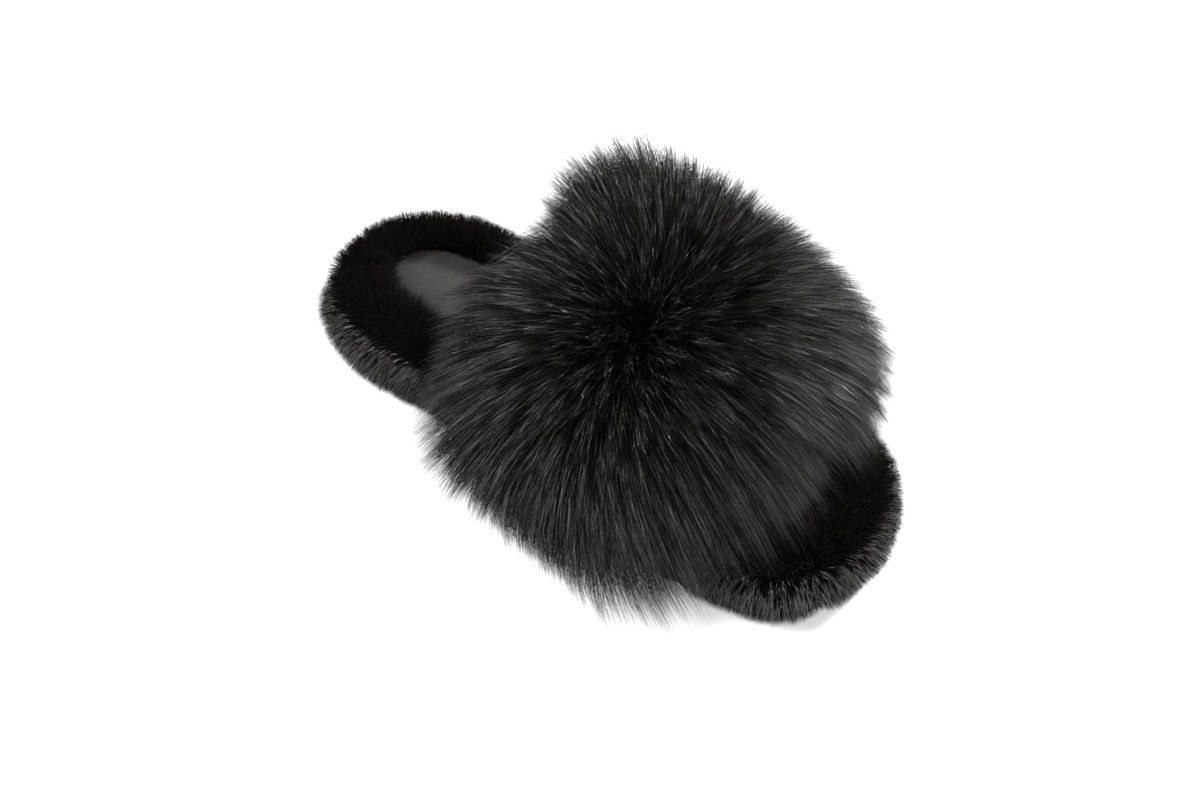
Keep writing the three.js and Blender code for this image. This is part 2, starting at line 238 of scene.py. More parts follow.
# ------------------------------------------------------------------ insole board
# Pressed fibre board, brown, with flecks of fibre. The vamp's lining is turned in under it.

pulp = Finish("insole_board", Roughness=0.9)
fibre = pulp.noise(pulp.place(), scale=700.0, detail=5.0)
pulp_colour = pulp.mixed(fibre**2, (0.20, 0.12, 0.06), (0.36, 0.25, 0.14))
refinish("insole_board", pulp.paint(pulp_colour, height=fibre, depth=0.0001))


# ------------------------------------------------------------------ footbed foam
# A slab of soft open-cell foam, cut to the plan and laid on the board inside the rim's bead.
# Cut foam swells a little at its edges, so the slab is blown up in a short cloth simulation.

# Everything is laid out from the core line, which runs round the slipper along the middle of
# the rim's bead. The toe is at -Y and leans to -X, as on a left foot. Sizes are in metres.
PILE_REACH = 0.0183  # from the core line out to the tips of the rim's pile
SOLE_REACH = 0.006
HEEL_HALF = 0.047 - PILE_REACH
BALL_HALF = 0.0555 - PILE_REACH
TOE_LEAN = 0.014
HEEL_LINE_X = 0.009
END_ROUNDNESS = 8
WAIST_U = 0.65  # the half width goes over from ball to heel between -u and u
CORE_HALF_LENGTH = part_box("outsole")[1][1] - SOLE_REACH
FINE_POINTS, EVEN_POINTS = 4001, 1201


def smooth(low, high, value):
    """0 below low, 1 above high, and an even S between."""
    t = np.clip((value - low) / (high - low), 0, 1)
    return t * t * (3 - 2 * t)


fine_u = -np.cos(np.linspace(0, 2 * np.pi, FINE_POINTS))
fine_half = BALL_HALF + (HEEL_HALF - BALL_HALF) * smooth(-WAIST_U, WAIST_U, fine_u)
fine_side = fine_half * np.sqrt(np.clip(1 - np.abs(fine_u) ** END_ROUNDNESS, 0, 1))
fine_side[FINE_POINTS // 2 + 1 :] *= -1
fine_core = np.stack(
    [HEEL_LINE_X - TOE_LEAN * np.minimum(fine_u, 0) ** 2 + fine_side, CORE_HALF_LENGTH * fine_u], 1
)
core_run = np.r_[0, np.cumsum(np.linalg.norm(np.diff(fine_core, axis=0), axis=1))]
CORE_LENGTH = core_run[-1]
even_run = np.linspace(0, CORE_LENGTH, EVEN_POINTS)
even_core = np.stack([np.interp(even_run, core_run, fine_core[:, k]) for k in (0, 1)], 1)[:-1]
even_step = np.roll(even_core, -4, axis=0) - np.roll(even_core, 4, axis=0)
even_out = np.stack([even_step[:, 1], -even_step[:, 0]], 1)
even_out /= np.linalg.norm(even_out, axis=1, keepdims=True)
even_share = np.arange(EVEN_POINTS) / (EVEN_POINTS - 1)
even_core, even_out = np.vstack([even_core, even_core[:1]]), np.vstack([even_out, even_out[:1]])


def core_line(share):
    """Point and outward direction of the core line after a share of the way round, from the toe's
    middle by +X to the heel and back by -X. Its half width blends from ball to heel and closes at
    both ends as the root of 1 - |u|^n, where u is Y over the half length."""
    at = np.mod(share, 1.0)
    point = np.stack([np.interp(at, even_share, even_core[:, k]) for k in (0, 1)], -1)
    out = np.stack([np.interp(at, even_share, even_out[:, k]) for k in (0, 1)], -1)
    return point, out / np.linalg.norm(out, axis=-1, keepdims=True)


def plan(share, reach, z):
    """Points that stand outside the core line by reach, at height z."""
    share, reach, z = np.broadcast_arrays(share, reach, z)
    point, out = core_line(share)
    return np.concatenate([point + out * reach[..., None], z[..., None]], -1)


DECK_END = 0.04  # radians that the end rows keep off the ends, so that they have a width


def deck(reach, z, crown=0.0, rows=120, columns=33):
    """Grid over the whole plan inside an offset line: row by row from toe to heel, each row
    straight across from the +X side to the -X side. It rises by crown times 1 - v^4 across and
    1 - w^6 along."""
    row = (1 - np.cos(np.linspace(DECK_END, np.pi - DECK_END, rows))) / 4
    right, left = plan(row, reach, z), plan(1 - row, reach, z)
    across = np.sin(np.linspace(-1, 1, columns) * np.pi / 2)
    mix = (across[None, :, None] + 1) / 2
    grid = right[:, None] * (1 - mix) + left[:, None] * mix
    lengthwise = np.linspace(-1, 1, rows)[:, None]
    grid[..., 2] += crown * (1 - across[None, :] ** 4) * (1 - lengthwise**6)
    return grid


def grid_faces(rows, columns, rows_close=False, columns_close=False):
    """Quads of a grid of points that are numbered row by row."""
    r = np.arange(rows if rows_close else rows - 1)[:, None]
    c = np.arange(columns if columns_close else columns - 1)[None, :]
    r2, c2 = (r + 1) % rows, (c + 1) % columns
    quads = (r * columns + c, r2 * columns + c, r2 * columns + c2, r * columns + c2)
    return np.stack(np.broadcast_arrays(*quads), -1).reshape(-1, 4)


def faced_outwards(points, quads):
    """Turns every face round if the closed skin's signed volume comes out negative."""
    a, b, c, d = (points[quads[:, k]] for k in range(4))
    volume = (a * np.cross(b, c)).sum() + (a * np.cross(c, d)).sum()
    return quads if volume > 0 else quads[:, ::-1]


def layer(name, outer, inner, material):
    """Closed piece between two grids of the same size: both grids and a wall round their edges."""
    rows, columns = outer.shape[:2]
    face = grid_faces(rows, columns)
    below = rows * columns
    numbers = np.arange(below).reshape(rows, columns)
    around = (numbers[:, 0], numbers[::-1, -1], numbers[0, ::-1], numbers[-1, :])
    walls = [np.stack([e[1:], e[:-1], e[:-1] + below, e[1:] + below], 1) for e in around]
    faces = np.vstack([face, face[:, ::-1] + below, *walls])
    points = np.vstack([outer.reshape(-1, 3), inner.reshape(-1, 3)])
    return mesh_piece(name, points, faced_outwards(points, faces), material)


SWELL_STEPS = 20


def swell(piece, voxel, pressure, cap):
    """Blows a closed piece up as cloth: an even remesh, a few steps of pressure with no weight,
    and no point moved further than cap. One subdivision smooths it."""
    remesh = piece.modifiers.new("remesh", "REMESH")
    remesh.mode, remesh.voxel_size, remesh.use_smooth_shade = "VOXEL", voxel, True
    settle(piece)
    before = np.zeros(len(piece.data.vertices) * 3, np.float32)
    piece.data.vertices.foreach_get("co", before)
    cloth = piece.modifiers.new("cloth", "CLOTH")
    cloth.settings.use_pressure, cloth.settings.uniform_pressure_force = True, pressure
    cloth.settings.effector_weights.gravity = 0
    for step in range(1, SWELL_STEPS + 1):
        bpy.context.scene.frame_set(step)
    settle(piece)
    after = np.zeros_like(before)
    piece.data.vertices.foreach_get("co", after)
    move = (after - before).reshape(-1, 3)
    far = np.linalg.norm(move, axis=1, keepdims=True)
    move *= np.minimum(1, cap / np.maximum(far, 1e-9))
    piece.data.vertices.foreach_set("co", (before.reshape(-1, 3) + move).ravel())
    bpy.context.scene.frame_set(1)
    finer = piece.modifiers.new("smooth", "SUBSURF")
    finer.levels = finer.render_levels = 1


def settle(piece):
    """Makes what a piece's modifiers give its own mesh."""
    shape = piece.evaluated_get(bpy.context.evaluated_depsgraph_get())
    mesh = bpy.data.meshes.new_from_object(shape)
    piece.modifiers.clear()
    piece.data = mesh


foam_low, foam_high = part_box("footbed_foam")
FOAM_REACH = -0.003
SWELL_ROOM = 0.0006
open_foam = Finish("footbed_foam", Roughness=0.95)
foam_place = open_foam.place()
foam_cells = open_foam.node("TexVoronoi", {}, {"Vector": foam_place, "Scale": 1500.0}, "Distance")
foam_tint = open_foam.noise(foam_place, scale=45.0)
foam_colour = open_foam.mixed(foam_tint, (0.62, 0.56, 0.44), (0.74, 0.69, 0.58))
footbed_pad = layer(
    "footbed_pad",
    deck(FOAM_REACH - SWELL_ROOM, foam_high[2] - SWELL_ROOM),
    deck(FOAM_REACH - SWELL_ROOM, foam_low[2] + SWELL_ROOM),
    open_foam.paint(foam_colour, height=foam_cells, depth=0.0003),
)
swell(footbed_pad, voxel=0.004, pressure=4.0, cap=SWELL_ROOM)
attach(footbed_pad, "root")
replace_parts(footbed_pad, "footbed_foam")


# ------------------------------------------------------------------ sock and its stitching
# Warm grey suede, cut to the inside of the rim and sewn down all round on the foam. It dips a
# little in the middle, and its nap is brushed in cloudy patches.

sock_low, sock_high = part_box("sock_lining")
bead_low, bead_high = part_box("rim_padding")
CORE_Z = (bead_low[2] + bead_high[2]) / 2
BEAD_RADIUS = (bead_high[2] - bead_low[2]) / 2
LAYER_GAP = 0.0003  # room for glue between two layers
RIM_SKIN = 0.001
SKIN_INSIDE = BEAD_RADIUS + LAYER_GAP
SKIN_OUTSIDE = SKIN_INSIDE + RIM_SKIN
SOCK_EDGE = 0.0013  # from the rim's skin to the sock's edge
SOCK_REACH = -(math.sqrt(SKIN_INSIDE**2 - (sock_low[2] - CORE_Z) ** 2) + SOCK_EDGE)
SOCK_DISH = -0.0007

suede = Finish("suede", Sheen_Weight=0.1, Sheen_Roughness=0.5, Specular_IOR_Level=0.1)
suede_place = suede.place()
nap = suede.noise(suede_place, scale=1900.0, detail=3.0)
brushed = suede.noise(suede_place, scale=75.0, detail=6.0)
scuffs = suede.noise(suede_place, scale=340.0, detail=4.0)
worn = suede.mixed(brushed**2, (0.022, 0.0209, 0.0192), (0.072, 0.0688, 0.0638))
suede_colour = suede.mixed(0.7 * scuffs, worn, (0.017, 0.0161, 0.0148))
sock = layer(
    "suede_sock",
    deck(SOCK_REACH, sock_high[2], SOCK_DISH, rows=160, columns=41),
    deck(SOCK_REACH, sock_low[2], SOCK_DISH, rows=160, columns=41),
    suede.paint(suede_colour, 0.8 + 0.15 * nap, nap + 0.6 * scuffs, 0.00025),
)
ring = plan(np.linspace(0, 1, 600), SOCK_REACH, 0.0)
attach(sock, "root")
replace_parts(sock, "sock_lining")

THREAD_RADIUS, THIN_THREAD = 0.00028, 0.00024
THREAD_SIDES = 6
STITCH_LENGTH = 0.0032
STITCH_POINTS = 8


def unit(vectors):
    """The same directions at length one."""
    return vectors / (np.linalg.norm(vectors, axis=-1, keepdims=True) + 1e-12)


def thread_finish(name, dark, light):
    """Twisted cotton: thin slanting bands of lighter and darker ply, matt."""
    twist = Finish(name, Roughness=0.75)
    place = twist.place()
    bands = twist.node("TexWave", {}, {"Vector": place, "Scale": 900.0, "Distortion": 2.0}, "Fac")
    fuzz = twist.noise(place, scale=2500.0, detail=2.0)
    return twist.paint(twist.mixed(bands, dark, light), height=bands + fuzz, depth=0.0001)


def thread(name, line, radius, material, loops=True):
    """Closed tube of round section along a line of points (n, 3). One that doesn't loop tapers to
    a small cap at either end."""
    run = np.roll(line, -1, 0) - np.roll(line, 1, 0)
    if not loops:
        run[0], run[-1] = line[1] - line[0], line[-1] - line[-2]
    run = unit(run)
    across = unit(np.cross(run, (0.31, 0.17, 0.94)))
    other = np.cross(run, across)
    angle = np.linspace(0, 2 * np.pi, THREAD_SIDES, endpoint=False)[:, None]
    spoke = across[:, None] * np.cos(angle) + other[:, None] * np.sin(angle)
    size = np.full((len(line), 1, 1), radius)
    if not loops:
        size[0] = size[-1] = radius * 0.05
    points = (line[:, None] + size * spoke).reshape(-1, 3)
    faces = grid_faces(len(line), THREAD_SIDES, loops, True)
    if not loops:
        cap = np.array([(0, 1, 2, 3), (0, 3, 4, 5)])
        last = (len(line) - 1) * THREAD_SIDES
        faces = np.vstack([faces, cap, cap[:, ::-1] + last])
    piece = mesh_piece(name, points, faced_outwards(points, faces), material)
    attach(piece, "root")
    return piece


grey_thread = thread_finish("grey_thread", (0.018, 0.017, 0.016), (0.045, 0.043, 0.041))
SEWN_INSIDE, SEWN_SUNK, SEWN_RISE = 0.002, 0.0003, 0.00055
SEAM_TURNS = int(CORE_LENGTH / STITCH_LENGTH)
sewn_share = np.arange(SEAM_TURNS * STITCH_POINTS) / (SEAM_TURNS * STITCH_POINTS)
dip = np.abs(np.sin(sewn_share * SEAM_TURNS * np.pi)) ** 0.5
sewn = plan(sewn_share, SOCK_REACH - SEWN_INSIDE, sock_high[2] - SEWN_SUNK + SEWN_RISE * dip)
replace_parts(thread("sock_seam", sewn, THREAD_RADIUS, grey_thread), "sock_stitching")


# ------------------------------------------------------------------ rim bead
# A bead of foam that fills the rim's roll all round. It is round, with its inner side cut
# flat against the footbed, and butt-jointed at the heel.

BEAD_FLAT = 0.0027  # from the core line to the flat
BEAD_ROWS, BEAD_COLUMNS = 240, 33
BEAD_WAVES, WAVE_DEPTH = 23, 0.012  # round soft waves, and their depth as a share of the radius
bead_open = math.acos(BEAD_FLAT / BEAD_RADIUS)
bead_angle = np.linspace(bead_open - math.pi, math.pi - bead_open, BEAD_COLUMNS)
bead_share = np.linspace(0, 1, BEAD_ROWS, endpoint=False)[:, None]
bead_size = BEAD_RADIUS * (1 - WAVE_DEPTH * (1 + np.sin(bead_share * 2 * np.pi * BEAD_WAVES)))
bead_grid = plan(bead_share, bead_size * np.cos(bead_angle), CORE_Z + bead_size * np.sin(bead_angle))
bead_finish = Finish("bead_foam", Roughness=0.95)
bead_place = bead_finish.place()
bead_cells = bead_finish.node("TexVoronoi", {}, {"Vector": bead_place, "Scale": 1200.0}, "Distance")
bead_tint = bead_finish.noise(bead_place, scale=60.0)
bead_colour = bead_finish.mixed(bead_tint, (0.55, 0.5, 0.4), (0.68, 0.63, 0.53))
bead_points = bead_grid.reshape(-1, 3)
rim_bead = mesh_piece(
    "rim_bead",
    bead_points,
    faced_outwards(bead_points, grid_faces(BEAD_ROWS, BEAD_COLUMNS, True, True)),
    bead_finish.paint(bead_colour, height=bead_cells, depth=0.0003),
)
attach(rim_bead, "root")
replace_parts(rim_bead, "rim_padding")


# ------------------------------------------------------------------ rim skins and seam threads
# Two strips of short-haired skin, wrapped round the bead and overcast end to end at the toe
# and the heel. Both seams stand off the middle, towards -X.

SEAM_OFFSET = 0.017
SEAM_GAP = 0.0001
SKIN_UNDER = -0.006  # where the strips end, flat under the footbed
SEAM_START, SEAM_END = 0.1, -1.45  # radians: below the skin's top edge, and round to the underside
OVERCAST_TURNS, OVERCAST_HALF = 13, 0.0011
toe_seam = -SEAM_OFFSET / CORE_LENGTH
heel_seam = 0.5 + SEAM_OFFSET / CORE_LENGTH
SKIN_TOP = math.pi - math.asin((sock_low[2] - CORE_Z) / SKIN_INSIDE)
skin_angle = np.linspace(SKIN_TOP, -math.pi / 2, 41)

pelt = Finish("black_skin", Roughness=0.75, Specular_IOR_Level=0.3)
pelt_place = pelt.place()
pores = pelt.noise(pelt_place, scale=1600.0, detail=3.0)
pelt_colour = pelt.mixed(pelt.noise(pelt_place, scale=120.0), (0.004, 0.004, 0.004), (0.010, 0.009, 0.009))
pelt_finish = pelt.paint(pelt_colour, height=pores, depth=0.0002)
black_thread = thread_finish("black_thread", (0.006, 0.006, 0.006), (0.02, 0.02, 0.019))


def rim_skin(name, first, last):
    """Skin strip between two shares of the way round: an arc about the bead from the sock's edge
    over the top to the underside, and flat in under the footbed from there."""
    back = SEAM_GAP / 2 / CORE_LENGTH
    rows = np.linspace(first + back, last - back, 200)[:, None]
    grids = []
    for radius in (SKIN_OUTSIDE, SKIN_INSIDE):
        reach = np.r_[SOCK_REACH + LAYER_GAP, radius * np.cos(skin_angle), SKIN_UNDER]
        z = np.r_[sock_high[2] + LAYER_GAP, CORE_Z + radius * np.sin(skin_angle), CORE_Z - radius]
        grids.append(plan(rows, reach[None], z[None]))
    return layer(name, *grids, pelt_finish)


def seam_line(share):
    """Overcast thread: it crosses the seam from side to side as a sine while it runs over the bead."""
    along = np.linspace(0, 1, 220)
    angle = SKIN_TOP - SEAM_START + (SEAM_END - SKIN_TOP + SEAM_START) * along
    swing = OVERCAST_HALF * np.sin(along * 2 * np.pi * OVERCAST_TURNS) / CORE_LENGTH
    return plan(share + swing, SKIN_OUTSIDE * np.cos(angle), CORE_Z + SKIN_OUTSIDE * np.sin(angle))


for side, first, last in (("right", toe_seam, heel_seam), ("left", heel_seam, 1 + toe_seam)):
    strip = rim_skin("rim_skin_" + side, first, last)
    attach(strip, "root")
    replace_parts(strip, "rim_fur_" + side)
for end, share in (("toe", toe_seam), ("heel", heel_seam)):
    overcast = thread(end + "_overcast", seam_line(share), THIN_THREAD, black_thread, loops=False)
    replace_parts(overcast, end + "_seam_thread")


# ------------------------------------------------------------------ rim pile
# Short dense black hair on the rim skins: cut like velvet on top, and longer and combed down
# round the outside to just above the floor. It parts at both seams and lies flat under the vamp.

# A hair is a closed tapering sliver on a curved line. Its map holds the hair's own tone across
# and the way from root to tip along, for the finish.
HAIR_TAPER = 0.8
HAIR_TURN = 40.0  # how fast a hair's tone turns its section
HAIR_MAP = 0.003  # width of one hair in its map


def hairs(root, middle, tip, width, tone, rings):
    """Points, faces and map of three-sided hairs. A hair follows the parabola (1-t)^2 root +
    2t(1-t) middle + t^2 tip. Ring t is a triangle of that width times (1-t)^taper, turned by the
    hair's own tone, and the tip closes it."""
    count, t = len(root), np.asarray(rings)[None, :, None]
    line = (1 - t) ** 2 * root[:, None] + 2 * t * (1 - t) * middle[:, None] + t**2 * tip[:, None]
    run = unit((1 - t) * (middle - root)[:, None] + t * (tip - middle)[:, None])
    turn = HAIR_TURN * tone
    across = unit(np.cross(run, np.stack([np.cos(turn), np.sin(turn), 0.37 + 0 * turn], -1)[:, None]))
    other = np.cross(run, across)
    corner = (np.arange(3) * 2 * np.pi / 3)[:, None]
    spoke = across[:, :, None] * np.cos(corner) + other[:, :, None] * np.sin(corner)
    radius = 0.5 * width[:, None, None, None] * (1 - t[..., None]) ** HAIR_TAPER
    ring_points = (line[:, :, None] + radius * spoke).reshape(count, -1, 3)
    points = np.concatenate([ring_points, tip[:, None]], 1)
    end = 3 * (len(rings) - 1)
    base = np.array([(0, 1), (1, 2), (2, 0)])
    faces = [np.array([(2, 1, 0)])]
    for low in range(0, end, 3):
        a, b = base[:, 0] + low, base[:, 1] + low
        faces += [np.stack([a, b, b + 3], 1), np.stack([a, b + 3, a + 3], 1)]
    faces.append(np.stack([base[:, 0] + end, base[:, 1] + end, np.full(3, end + 3)], 1))
    faces = np.vstack(faces)[None] + (np.arange(count) * (end + 4))[:, None, None]
    across_map = np.r_[np.tile([0.0, HAIR_MAP / 2, HAIR_MAP], len(rings)), HAIR_MAP / 2]
    along_map = np.r_[np.repeat(np.asarray(rings), 3), 1.0]
    along_map[1] += 0.004
    u = HAIR_MAP + 0.99 * tone[:, None] + across_map
    v = np.broadcast_to(0.002 + 0.994 * along_map, u.shape)
    return points.reshape(-1, 3), faces.reshape(-1, 3), np.stack([u, v], -1).reshape(-1, 2)


TIP_FADE, TONES, PALE_FULL = 1.4, 300.0, 0.85


def fur_finish(name, root_colour, tip_colour, pale_colour, roughness, pale_from, gloss):
    """Dyed hair: darkest at its root, paler hairs here and there, and a soft gloss. Where the pale colour is
    light, the paler hairs are painted highlights standing in for light on the strands.
    """
    finish = Finish(name, IOR=1.55, Specular_IOR_Level=gloss)
    split = finish.node("UVMap", dict(uv_map="OFBake"), {})
    tone = finish.node("SeparateXYZ", {}, {0: split}, 0)
    along = finish.node("SeparateXYZ", {}, {0: split}, 1)
    dyed = finish.mixed(along**TIP_FADE, root_colour, tip_colour)
    flicker = finish.node("TexNoise", dict(noise_dimensions="1D"), {"W": tone * TONES}, 0)
    pale = finish.node("MapRange", {}, {"Value": flicker, "From Min": pale_from, "From Max": PALE_FULL})
    return finish.paint(finish.mixed(pale, dyed, pale_colour), roughness + 0.12 * flicker)


def coat(name, node, slot, batch, material, drawn, thinnest, thicker, rings):
    """Gives drawn hairs a random width, from thinnest to thicker than that, and a random tone, and
    puts them on a piece in batches that each make one object."""
    rng, root, middle, tip = drawn
    width = thinnest + thicker * rng.random(len(root))
    tone = rng.random(len(root))
    parts = -(-len(root) // batch)
    for part, rows in enumerate(np.array_split(np.arange(len(root)), parts)):
        points, faces, uv = hairs(root[rows], middle[rows], tip[rows], width[rows], tone[rows], rings)
        piece = mesh_piece(f"{name}_{part + 1}", points, faces, material, uv)
        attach(piece, "root")
        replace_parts(piece, node)


VAMP_FRONT, VAMP_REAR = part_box("vamp_lining")[0][1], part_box("vamp_lining")[1][1]
PILE_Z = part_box("rim_fur_left")[1][2] - PILE_REACH
PILE_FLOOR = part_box("rim_fur_left")[0][2]
PRESSED = 0.003  # length of the nap under the vamp
PRESSED_AHEAD, PRESSED_BLEND = 0.014, 0.018  # the nap starts this far ahead on top, and blends in
PILE_IN, PILE_UNDER = math.radians(128), math.radians(-80)
# Pale guard hairs grow only below this angle round the bead: a painted highlight on the rim's lower outside.
GLINT_GUARD_UP = math.radians(38)
PILE_ROUND = 0.015  # radius at which tufts are measured round the bead
COMB_OUTSIDE, COMB_UNDER, COMB_LOOSE = 0.32, 0.42, 0.07  # radians that tips are turned by
TUFT_SIZE, TUFT_PULL = 0.0021, 0.62
RAGGED = 0.22  # share of the length by which tufts, and hairs in a tuft, differ
HEEL_FULLER, TOE_FULLER = 0.34, 0.22
SEAM_LEAN, SEAM_LEAN_WIDTH = 0.0018, 0.0042
SEAM_SHORT, SEAM_SHORT_WIDTH = 0.12, 0.003
FLOW, FLOW_WAVE = 0.0016, 0.0047
ROOT_DEPTH = 0.0004  # hairs start this far under the skin's face
RIM_DYE = dict(root_colour=(0.0015, 0.0015, 0.0015), tip_colour=(0.004, 0.0038, 0.0035))
rim_down = fur_finish(
    "rim_hair", **RIM_DYE, pale_colour=(0.02, 0.019, 0.018), roughness=0.6, pale_from=0.62, gloss=0.0
)
# Guard hairs for the rim's lower outside. Their pale colour is a painted highlight, standing in for light
# caught on shiny hair ends.
rim_glint_guard = fur_finish(
    "rim_guard_hair", **RIM_DYE, pale_colour=(0.22, 0.21, 0.20), roughness=0.25, pale_from=0.45, gloss=1.0
)


def scatter(first, second, salt):
    """A number from 0 to 1 that looks random but is always the same for a pair: the fraction of a
    large sine of the two."""
    return np.mod(np.sin(first * 12.9898 + second * 78.233 + salt * 37.719) * 43758.5453, 1.0)


def hump(distance, width):
    """1 at no distance, falling off as a bell of that width."""
    return np.exp(-((distance / width) ** 2))


def pile(count, seed, first, last, stretch, spread, highest):
    """Roots, middles and tips of pile on one strip. A root stands on the skin at an angle about the
    bead. Its tip lies on the pile's round and above the floor, turned down by the comb, which is
    strongest outside, and pulled towards its tuft. The pile is fuller at the heel and the toe.
    Near a seam hairs are shorter and lean away, and under the vamp they are a short nap."""
    rng = np.random.default_rng(seed)
    share = first + (last - first) * rng.random(count)
    angle = PILE_UNDER + (highest - PILE_UNDER) * rng.random(count)
    y = core_line(share)[0][:, 1]
    front = VAMP_FRONT - PRESSED_AHEAD * smooth(0.0, 1.0, angle)
    pressed = smooth(front, front + PRESSED_BLEND, y)
    pressed *= 1 - smooth(VAMP_REAR - 0.004, VAMP_REAR + 0.014, y)
    keep = (pressed < 0.97) | ((angle > 1.0) & (rng.random(count) < 0.5))
    share, angle, pressed = share[keep], angle[keep], pressed[keep]
    count = len(share)

    comb = 0.02 + COMB_OUTSIDE * (1 - smooth(-0.1, 0.95, angle))
    comb -= COMB_UNDER * smooth(-0.65, -1.35, angle)
    comb += COMB_LOOSE * rng.standard_normal(count) * spread
    along, over = share * CORE_LENGTH / TUFT_SIZE, angle * PILE_ROUND / TUFT_SIZE
    along_at = np.floor(along + 0.5 * np.sin(over * 1.7))
    over_at = np.floor(over + 0.5 * np.sin(along * 1.3))
    along_to = along_at + 0.2 + 0.6 * scatter(along_at, over_at, 1.0)
    over_to = over_at + 0.2 + 0.6 * scatter(along_at, over_at, 2.0)
    gather = TUFT_PULL * rng.random(count)

    wave = sum(np.sin(share * 2 * np.pi * turns + turns) for turns in (7, 12, 19, 31)) / 4
    to_toe = np.minimum(share - toe_seam, 1 + toe_seam - share)
    fuller = HEEL_FULLER * hump(share - heel_seam - 0.03, 0.06) + TOE_FULLER * hump(to_toe, 0.07)
    ragged = RAGGED * scatter(along_at, over_at, 3.0) + RAGGED * rng.random(count)
    reach = (PILE_REACH - SKIN_OUTSIDE) * stretch * (1.01 + fuller + 0.12 * wave + ragged) + SKIN_OUTSIDE
    reach = reach + (SKIN_OUTSIDE + PRESSED - reach) * pressed
    drop = (CORE_Z - PILE_Z) * (1 - pressed)
    to_seam = np.minimum(share - first, last - share) * CORE_LENGTH
    reach = SKIN_OUTSIDE + (reach - SKIN_OUTSIDE) * (1 - SEAM_SHORT * hump(to_seam, SEAM_SHORT_WIDTH))

    away = np.where(share - first < last - share, 1.0, -1.0)
    lean = away * SEAM_LEAN * hump(to_seam, SEAM_LEAN_WIDTH)
    lean += 0.0009 * rng.standard_normal(count) * spread
    flow = FLOW * np.sin(share * CORE_LENGTH / FLOW_WAVE + 2.2 * np.sin(angle * 2))
    share_tip = share + (lean + 0.35 * flow + gather * (along_to - along) * TUFT_SIZE) / CORE_LENGTH
    tip_angle = angle - comb + gather * (over_to - over) * TUFT_SIZE / PILE_ROUND
    tip_z = CORE_Z - 0.3 * drop + reach * np.sin(tip_angle)
    tip_z = np.maximum(tip_z, PILE_FLOOR + 0.0015 * rng.random(count))
    tip = plan(share_tip, reach * np.cos(tip_angle), tip_z)
    deep = SKIN_OUTSIDE - ROOT_DEPTH
    root = plan(share, deep * np.cos(angle), CORE_Z + deep * np.sin(angle))
    normal = root - plan(share, 0.0, CORE_Z)
    middle = root + unit(normal) * 0.45 * np.linalg.norm(tip - root, axis=1, keepdims=True)
    return rng, root, middle, tip


STRIPS = (
    ("right", toe_seam, heel_seam, 70000, 9000, 11),
    ("left", heel_seam, 1 + toe_seam, 66000, 8500, 12),
)
for side, first, last, dense, sparse, seed in STRIPS:
    strip, kind = "rim_fur_" + side, "short_fur"
    down = pile(dense, seed, first, last, stretch=1.0, spread=1.0, highest=PILE_IN)
    coat("rim_pile_" + side, strip, kind, 45000, rim_down, down, 0.00030, 0.00012, rings=(0.0,))
    # Pale guard hairs, only low round the outside of the bead: a painted highlight along the rim's lower
    # outer side.
    guard = pile(sparse, seed + 10, first, last, stretch=1.04, spread=0.8, highest=GLINT_GUARD_UP)
    coat("rim_guard_" + side, strip, kind, 15000, rim_glint_guard, guard, 0.00032, 0.00012, rings=(0.0, 0.5))


# ------------------------------------------------------------------ vamp lining and interlining
# The vamp is an arch over the foot: knit lining inside, turned in under the footbed, a layer
# of soft foam over it, and the fur's skin over that.

MARGIN_REACH = 0.012  # from the core line in under the footbed
LINING, FOAM_LAYER = 0.001, 0.0025
VAMP_SQUARENESS = 2.3
LINING_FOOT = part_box("vamp_lining")[0][2] + LINING
VAMP_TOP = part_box("vamp_lining")[1][2] - LINING
VAMP_FALL = 0.020  # the arch is this much lower at its front edge
VAMP_SPAN = VAMP_REAR - VAMP_FRONT
LINING_OUT = 0.0168  # from the core line out to the spring line
SKIRT_TURN = 4.0  # radians of the tuck for each unit of side past the spring line
SKIRT_BLEND = (0.002, 0.022)  # from an edge, the skirt grows to its full depth between these
VAMP_ROWS, VAMP_COLUMNS, MARGIN_STEPS = 60, 81, 10


def arch_ends(y, reach):
    """X of the offset line's +X and -X sides at Y, read off its right and left halves."""
    fine = np.linspace(0, 0.5, 900)
    right, left = plan(fine, reach, 0.0), plan(1 - fine, reach, 0.0)
    order_r, order_l = np.argsort(right[:, 1]), np.argsort(left[:, 1])
    return (
        np.interp(y, right[order_r, 1], right[order_r, 0]),
        np.interp(y, left[order_l, 1], left[order_l, 0]),
    )


def arch(y, side, out):
    """Point of the vamp at Y. side goes from -1 at the -X spring line over the crown to 1, and out
    is the distance outside the lining's inner face: a superellipse |x|^n + |z|^n = 1. A side past
    -1 or 1 goes on down and turns in below the spring line, on an ellipse."""
    y, side = np.broadcast_arrays(y, side)
    inside = np.clip(y, VAMP_FRONT, VAMP_REAR)
    right, left = arch_ends(inside, LINING_OUT)
    rise = VAMP_TOP - VAMP_FALL * (VAMP_REAR - inside) / VAMP_SPAN - PILE_Z + out
    angle = np.maximum(1 - np.abs(side), 0) * np.pi / 2
    tuck = np.maximum(np.abs(side) - 1, 0) * SKIRT_TURN
    power = 2 / VAMP_SQUARENESS
    half = ((right - left) / 2 + out) * np.cos(angle) ** power - (LINING_OUT + out) * (1 - np.cos(tuck))
    drop = (PILE_Z - LINING_FOOT + out) * np.sin(tuck)
    x = (right + left) / 2 + np.sign(side) * half
    return np.stack([x, y, PILE_Z + rise * np.sin(angle) ** power - drop], -1)


